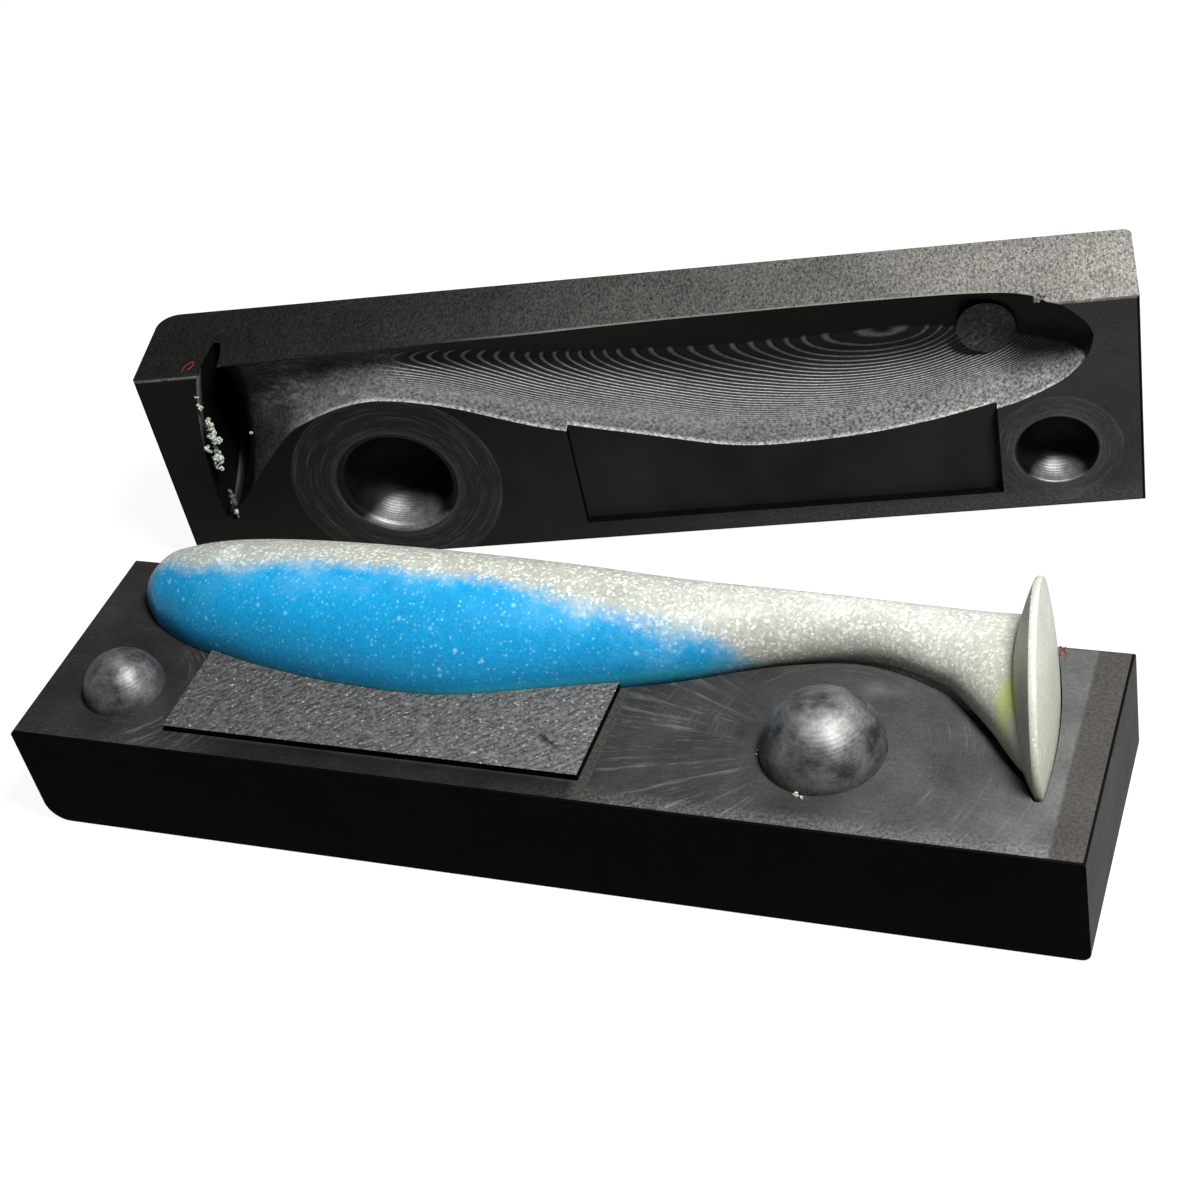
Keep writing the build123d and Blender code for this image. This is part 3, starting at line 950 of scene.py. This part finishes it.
def lure_finish(colours, block, lure, plane):
    """Soft plastic: a blue belly that fades into a silver back, both full of flakes."""
    f = Finish("lure_plastic", plane)
    along = f.along(block, lure)
    down = f.over(f.less(block.width / 2, f.y), lure.depth)
    sway = f.noise(110, 4, 0.6)
    fray = f.noise(900, 2, 0.6)
    milky = f.noise(200, 4, 0.6)

    # Where the blue ends
    line = f.add(f.curve(along, BELLY_LINE), f.mad(sway, 0.18, -0.09))
    fade = f.less(down, f.add(line, f.mad(fray, 0.12, -0.06)))
    belly = f.both(
        f.span(fade, -0.085, 0.085, 0.0, 1.0, True), f.span(f.mad(f.z, 7.0, along), 0.692, 0.672)
    )
    haze = f.both(f.span(fade, 0.22, 0.0), f.span(sway, 0.42, 0.62))

    # Flakes of three sizes, each picked and shaded by its own cell
    fine = f.cell_draws(3000)
    large, large_draw = f.cells(900), f.cell_draws(900)
    small, small_draw = f.cells(1700), f.cell_draws(1700)
    small_dots = f.both(
        f.math("GREATER_THAN", small_draw[0], 0.55), f.span(small, 0.40, 0.05),
        f.span(small_draw[1], 0.0, 1.0, 0.1, 0.6),
    )
    large_dots = f.both(
        f.math("GREATER_THAN", large_draw[0], 0.93), f.span(large, 0.38, 0.12),
        f.span(large_draw[1], 0.0, 1.0, 0.3, 0.7),
    )
    flecks = f.either(small_dots, large_dots)
    glints = f.both(f.math("GREATER_THAN", small_draw[2], 0.86), f.span(small, 0.34, 0.12))

    # Silver, bluish by the nose and greenish towards the paddle
    depth = f.span(fine[1], 0.0, 1.0, 0.78, 1.06)
    thick = f.span(along, 0.55, 0.80, 0.88, 1.10)
    silver = f.tone(colours.silver, f.both(depth, thick, f.vary(milky, 0.90, 1.08)))
    silver = f.mix(f.both(f.span(along, 0.30, 0.05), f.span(fade, -0.30, 0.0), 0.35), silver, (0.30, 0.46, 0.50))
    silver = f.mix(f.both(f.math("GREATER_THAN", fine[0], 0.80), 0.5), silver, colours.flake)
    green = f.both(f.span(along, 0.86, 0.97), f.span(down, 0.2, 0.9))
    silver = f.mix(f.both(green, 0.35), silver, (0.44, 0.50, 0.36))
    paddle = f.tone((0.46, 0.485, 0.41), f.vary(milky, 0.9, 1.1))
    silver = f.mix(f.both(f.span(along, 0.93, 0.965), 0.45), silver, paddle)
    spot = f.both(f.band(along, 0.955, 0.022), f.band(down, 0.83, 0.22))
    silver = f.mix(f.both(spot, 0.8), silver, colours.lime)
    silver = f.mix(f.both(glints, 0.8), silver, (0.88, 0.90, 0.88))

    # Blue, hazy near its edge and greener at the parting line
    deep = f.vary(f.noise(60, 3, 0.6), 0.88, 1.10)
    blue = f.tone(colours.blue, f.both(deep, f.span(fine[2], 0.0, 1.0, 0.90, 1.10)))
    blue = f.mix(f.both(haze, 0.35), blue, (0.20, 0.45, 0.60))
    blue = f.mix(f.both(flecks, 0.75), blue, (0.42, 0.74, 0.86))
    rim = f.both(f.span(f.z, 0.9 * MM, 0.1 * MM), f.span(along, 0.08, 0.14))
    blue = f.mix(f.both(rim, 0.45), blue, (0.03, 0.36, 0.42))
    cloudy = {"Subsurface Weight": 0.12, "Subsurface Radius": (2.5 * MM,) * 3, "Subsurface Scale": 1.0}
    height = f.mad(fine[1], 0.5, f.both(milky, 0.8))
    return f.made(f.mix(belly, silver, blue), 0.36, 0.32, height, 0.03 * MM, **cloudy)


def residue_finish(name, tint, darkest):
    """Scraps and fibres: one colour with a grain, whose dark side is a share of it."""
    f = Finish(name)
    grain = f.span(f.noise(2600), 0.35, 0.65, darkest, 1.2)
    return f.made(f.tone(tint, grain), 0.5, 0.3)


class MOULD_OT_lower_half(bpy.types.Operator):
    """Models the half that lies flat: domes, key pad and a sanded top face."""

    bl_idname = "mould.lower_half"
    bl_label = "Lower mould half"

    def execute(self, context):
        block, lure, _, colours = scene_sizes(context)
        plane = lower_plane(block)
        half = plain_block(block, plane, -1)
        combine(half, key_box(block, lure, plane, 0, 0, block.pad_height), "UNION")
        hollow(half, block, lure, plane, -1)
        domes = list(zip(dome_places(block, lure), (block.large_dome, block.small_dome)))
        for centre, radius in domes:
            combine(half, ball(plane, centre, radius), "UNION")
        back = plane.inverted()
        least_pad = 1e-6

        def choose(face):
            at = back @ face.calc_center_median()
            up = face.normal.z > SQUARE
            if up and abs(at.z - block.pad_height) < ON and face.calc_area() > least_pad:
                return "pad"
            if up and abs(at.z) < ON:
                return "face"
            if any(on_ball(at, centre, radius) for centre, radius in domes):
                return "dome"
            if abs(face.normal.x) > 0.9 and abs(at.x) > block.span / 2 - BESIDE:
                return "end"
            if within_edges(block, at) and MM - block.thickness < at.z < -ON:
                return "cavity"
            return "wall"

        pad_scratch = (0.0028, -0.0090, 0.0)
        finish_piece(half, "mould_lower", {
            "wall": wall_finish("lower_wall", colours, plane),
            "face": sanded_finish(block, lure, plane),
            "pad": strand_finish("pad_top", plane, 0.026, 0.125, scratch=pad_scratch),
            "dome": dome_finish("dome", plane, 0.055, 0.24, 0.5, 0.12),
            "end": end_finish("lower_end", plane),
            "cavity": cavity_finish("lower_cavity", block, lure, plane),
        }, choose)
        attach(half, "root")
        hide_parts("lower_mould_half")
        return {"FINISHED"}


class MOULD_OT_upper_half(bpy.types.Operator):
    """Models the half that stands: stepped cavity, sockets and the pad's pocket."""

    bl_idname = "mould.upper_half"
    bl_label = "Upper mould half"

    def execute(self, context):
        block, lure, stand, colours = scene_sizes(context)
        plane = upper_plane(block, stand)
        half = plain_block(block, plane, 1)
        pocket = key_box(block, lure, plane, block.end_clearance, block.side_clearance, block.pocket_depth)
        combine(half, pocket, "DIFFERENCE")
        hollow(half, block, lure, plane, 1)
        large, small = dome_places(block, lure)
        wide = block.large_dome + block.dome_clearance
        narrow = block.small_dome + block.dome_clearance
        sockets = ((large, wide, block.large_mouth), (small, narrow, block.small_mouth))
        for socket in sockets:
            combine(half, socket_hole(plane, *socket), "DIFFERENCE")
        back = plane.inverted()
        turn = plane.to_3x3().inverted()
        back_face = block.width / 2
        eye_level = lure.eye_spacing + lure.clearance

        def choose(face):
            at = back @ face.calc_center_median()
            out = turn @ face.normal
            down = out.z < -SQUARE
            if down and abs(at.z) < ON:
                return "face"
            if out.y > 0.9 and at.y > back_face - BESIDE:
                return "back"
            if down and abs(at.z - block.pocket_depth) < ON:
                return "pocket"
            for centre, radius, mouth in sockets:
                flat = (at.xy - centre.xy).length
                on_rim = flat < radius + mouth + 2 * BESIDE and at.z < mouth + BESIDE
                if on_rim or on_ball(at, centre, radius):
                    return "socket"
            if abs(out.x) > 0.9 and abs(at.x) > block.span / 2 - BESIDE:
                return "end"
            if down and abs(at.z - eye_level) < ON:
                return "eye"
            if at.z < block.face_round and at.y > back_face - block.face_round:
                return "edge"
            upright = min(abs(out.x), abs(out.y)) < 0.01 and abs(out.z) < 0.01
            pocket_wall = upright and at.z < block.pocket_depth
            if within_edges(block, at) and at.z < block.thickness - MM and not pocket_wall:
                return "cavity"
            return "wall"

        finish_piece(half, "mould_upper", {
            "wall": wall_finish("upper_wall", colours, plane),
            "face": face_finish(block, lure, plane),
            "back": back_finish(block, lure, plane),
            "socket": dome_finish("socket", plane, 0.10, 0.26, 0.5, 0.3, ((large, wide), (small, narrow))),
            "cavity": cavity_finish("upper_cavity", block, lure, plane),
            "pocket": wall_finish("pocket_floor", colours, plane, 3.2),
            "end": end_finish("upper_end", plane),
            "eye": strand_finish("eye_boss", plane, 0.012, 0.10, 38),
            "edge": end_finish("upper_edge", plane, 0.02, 0.13),
        }, choose)
        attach(half, "root")
        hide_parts("upper_mould_half")
        return {"FINISHED"}


class MOULD_OT_cast_lure(bpy.types.Operator):
    """Models the cast lure in its place, a little proud of its cavity."""

    bl_idname = "mould.cast_lure"
    bl_label = "Cast lure"

    def execute(self, context):
        block, lure, _, colours = scene_sizes(context)
        plane = lure_plane(block, lure)
        fish = body_tube(block, lure, plane, 0)
        paddle = paddle_lens(block, lure, plane, 0)
        pour_flat(paddle, block, lure, plane)
        combine(fish, paddle, "UNION")
        for side in (-1, 1):
            combine(fish, eye_post(block, lure, plane, side, lure.eye / 2, lure.eye_floor), "DIFFERENCE")
        finish_piece(fish, "soft_lure", {"all": lure_finish(colours, block, lure, plane)}, sharp=35)
        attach(fish, "root")
        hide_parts("cast_lure")
        return {"FINISHED"}


def scatter(draw, planes, rows):
    """Draws the place, size and stretch of each scrap in a table's clusters."""
    found = []
    for half, middle, spread, count, size in rows:
        for _ in range(count):
            at = Vector(m + s * draw.uniform(-1, 1) for m, s in zip(middle, spread))
            stretch = Vector(draw.uniform(0.6, 1.3) for _ in range(3))
            found.append((planes[half] @ (at * MM), size * MM * draw.uniform(0.5, 1.3), stretch))
    return found


def scraps(name, seeds):
    """Ragged lumps, each given by its place, its size and its stretch."""
    bm = bmesh.new()
    for i, (place, size, stretch) in enumerate(seeds):
        coarse_start, fine_start = Vector((i * 3.7, 0, 0)), Vector((0, i * 2.3, 5))
        for vertex in bmesh.ops.create_icosphere(bm, subdivisions=3, radius=1)["verts"]:
            way = vertex.co.copy()
            rough = noise.noise(way * 1.5 + coarse_start) + 0.5 * noise.noise(way * 3.4 + fine_start)
            vertex.co = place + way * stretch * size * (1 + 1.15 * rough)
    return new_piece(name, bm)


def fibre_points(plane, start, end, sag):
    """Points along a slack line."""
    start, end, sag = (Vector(place) * MM for place in (start, end, sag))
    steps = 8
    return [plane @ (start.lerp(end, i / steps) + sag * math.sin(math.pi * i / steps)) for i in range(steps + 1)]


def fibre_runs(name, runs, radius):
    """Thin fibres through given points, as six-sided threads with closed ends."""
    bm = bmesh.new()
    for points in runs:
        last = len(points) - 1
        rings = []
        for i, point in enumerate(points):
            ahead = points[min(i + 1, last)] - points[max(i - 1, 0)]
            place = Matrix.Translation(point) @ ahead.to_track_quat("Z", "Y").to_matrix().to_4x4()
            rings.append(
                bmesh.ops.create_circle(bm, cap_ends=i in (0, last), segments=6, radius=radius, matrix=place)
            )
        bridge_rings(bm, rings)
    bmesh.ops.recalc_face_normals(bm, faces=bm.faces)
    return new_piece(name, bm)


class MOULD_OT_residue(bpy.types.Operator):
    """Models the scraps of plastic and the fibres left on the mould."""

    bl_idname = "mould.residue"
    bl_label = "Casting residue"

    def execute(self, context):
        block, _, stand, colours = scene_sizes(context)
        planes = {"upper": upper_plane(block, stand), "lower": lower_plane(block)}
        draw = random.Random(11)
        crumbs = scraps("plastic_crumbs", scatter(draw, planes, CRUMBS))
        burrs = scraps("torn_burrs", scatter(draw, planes, BURRS))
        runs = [fibre_points(planes[half], *run) for half, *run in FIBRES]
        fibres = fibre_runs("red_fibres", runs, FIBRE_RADIUS)
        for piece, finish, slot, sharp in (
            (crumbs, residue_finish("crumb", colours.crumb, 0.5), "lure_plastic", 50),
            (burrs, residue_finish("burr", colours.burr, 0.35), "mould_plastic", 50),
            (fibres, residue_finish("fibre", colours.fibre, 0.8), "lure_plastic", 70),
        ):
            finish_piece(piece, piece.name, {"all": finish}, sharp=sharp)
            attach(piece, "root")
        return {"FINISHED"}


class MOULD_OT_stage(bpy.types.Operator):
    """Sets the floor, the lamps and the camera."""

    bl_idname = "mould.stage"
    bl_label = "Stage"

    def execute(self, context):
        scene = context.scene
        self.lay_floor()
        self.light(scene)
        self.aim(scene)
        scene.view_settings.view_transform = "Standard"
        return {"FINISHED"}

    def lay_floor(self):
        """A plain pale floor a little below the parts, lit and partly glowing so that it reads as white."""
        place = Matrix.Translation((0, 0, -0.2 * MM))
        floor = solid("floor", bmesh.ops.create_grid, place, x_segments=1, y_segments=1, size=4)
        f = Finish("floor_white")
        floor.data.materials.append(f.made((0.30, 0.30, 0.30), 0.9, 0.1))
        glow = f.node("Emission", {"Color": (1, 1, 1), "Strength": 1.34})
        rays = f.node("LightPath").outputs
        seen = f.both(f.either(rays["Is Camera Ray"], rays["Is Transmission Ray"]), 0.70)
        f.put(f.output.inputs[0], f.node("MixShader", {0: seen, 1: f.shader.outputs[0], 2: glow.outputs[0]}).outputs[0])

    def light(self, scene):
        """A white background that lights the scene only faintly, and two lamps."""
        world = bpy.data.worlds.new("studio")
        scene.world = world
        world.use_nodes = True
        w = Nodes(world.node_tree)
        seen = w.node("LightPath").outputs["Is Camera Ray"]
        strength = w.node("MapRange", {0: seen, 3: 0.064, 4: 1.0}).outputs[0]
        background = w.node("Background", {"Color": (1, 1, 1), "Strength": strength})
        w.node("OutputWorld", {0: background.outputs[0]})
        for name, at, power, size in LAMPS:
            lamp = bpy.data.lights.new(name, "AREA")
            lamp.energy = power
            lamp.size = size
            holder = bpy.data.objects.new(name, lamp)
            scene.collection.objects.link(holder)
            holder.location = at
            holder.rotation_euler = (LIT - Vector(at)).to_track_quat("-Z", "Y").to_euler()

    def aim(self, scene):
        """The photograph's camera."""
        lens = bpy.data.cameras.new("camera")
        lens.sensor_width = 36
        lens.lens = 67.08
        lens.shift_x = -0.0838
        lens.shift_y = -0.0138
        lens.clip_start = 0.01
        lens.clip_end = 10
        camera = bpy.data.objects.new("camera", lens)
        scene.collection.objects.link(camera)
        turned = Matrix((CAMERA_RIGHT, -CAMERA_DOWN, -CAMERA_AHEAD)).transposed().to_4x4()
        camera.matrix_world = Matrix.Translation(CAMERA_PLACE) @ turned
        scene.camera = camera


class MOULD_PT_panel(bpy.types.Panel):
    """Lists the pieces and their sizes."""

    bl_idname = "MOULD_PT_panel"
    bl_label = "Lure mould"
    bl_space_type = "VIEW_3D"
    bl_region_type = "UI"
    bl_category = "Lure mould"

    def draw(self, context):
        for group in scene_sizes(context):
            box = self.layout.box()
            for name in group.__annotations__:
                box.prop(group, name)
        for operator in OPERATORS:
            self.layout.operator(operator.bl_idname)


OPERATORS = (
    MOULD_OT_lower_half, MOULD_OT_upper_half, MOULD_OT_cast_lure, MOULD_OT_residue, MOULD_OT_stage,
)
GROUPS = (
    ("mould_block", MOULD_PG_block),
    ("mould_lure", MOULD_PG_lure),
    ("mould_stand", MOULD_PG_stand),
    ("mould_colours", MOULD_PG_colours),
)


def register():
    for name, group in GROUPS:
        bpy.utils.register_class(group)
        setattr(bpy.types.Scene, name, bpy.props.PointerProperty(type=group))
    for operator in OPERATORS:
        bpy.utils.register_class(operator)
    bpy.utils.register_class(MOULD_PT_panel)


def unregister():
    bpy.utils.unregister_class(MOULD_PT_panel)
    for operator in reversed(OPERATORS):
        bpy.utils.unregister_class(operator)
    for name, group in reversed(GROUPS):
        delattr(bpy.types.Scene, name)
        bpy.utils.unregister_class(group)


def main():
    register()
    bpy.ops.mould.lower_half()
    bpy.ops.mould.upper_half()
    bpy.ops.mould.cast_lure()
    bpy.ops.mould.residue()
    bpy.ops.mould.stage()


if __name__ == "__main__":
    main()
